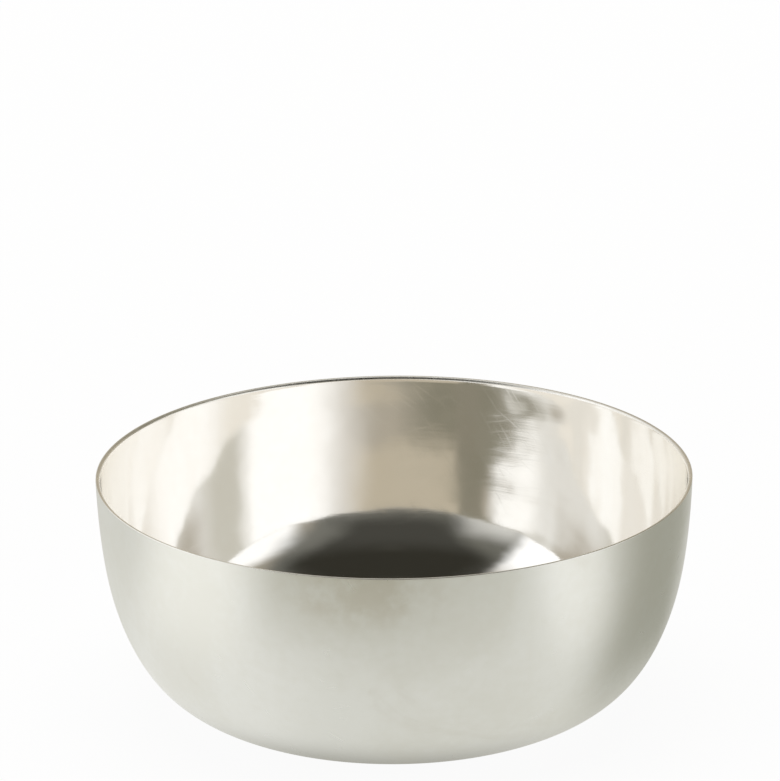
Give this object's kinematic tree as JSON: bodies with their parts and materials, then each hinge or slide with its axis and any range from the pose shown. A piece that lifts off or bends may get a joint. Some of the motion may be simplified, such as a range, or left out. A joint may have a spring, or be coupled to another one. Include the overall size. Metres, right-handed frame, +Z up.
{
  "type": "offering bowl",
  "caption": "Plain round silver offering bowl with a flat base, a curved belly and a thin upright rim, satin outside and polished inside, for water or other offerings.",
  "frame": {"origin": "middle of the flat base, on the surface that the bowl stands on", "axes": "+Z up along the bowl's axis of revolution, out of its mouth; the bowl is round, so X and Y are free"},
  "size_m": [0.1, 0.1, 0.0394],
  "materials": {
    "silver": "warm silver, satin outside with faint handling marks, polished inside"
  },
  "bodies": {
    "root": {"bowl": "silver"}
  },
  "joints": []
}
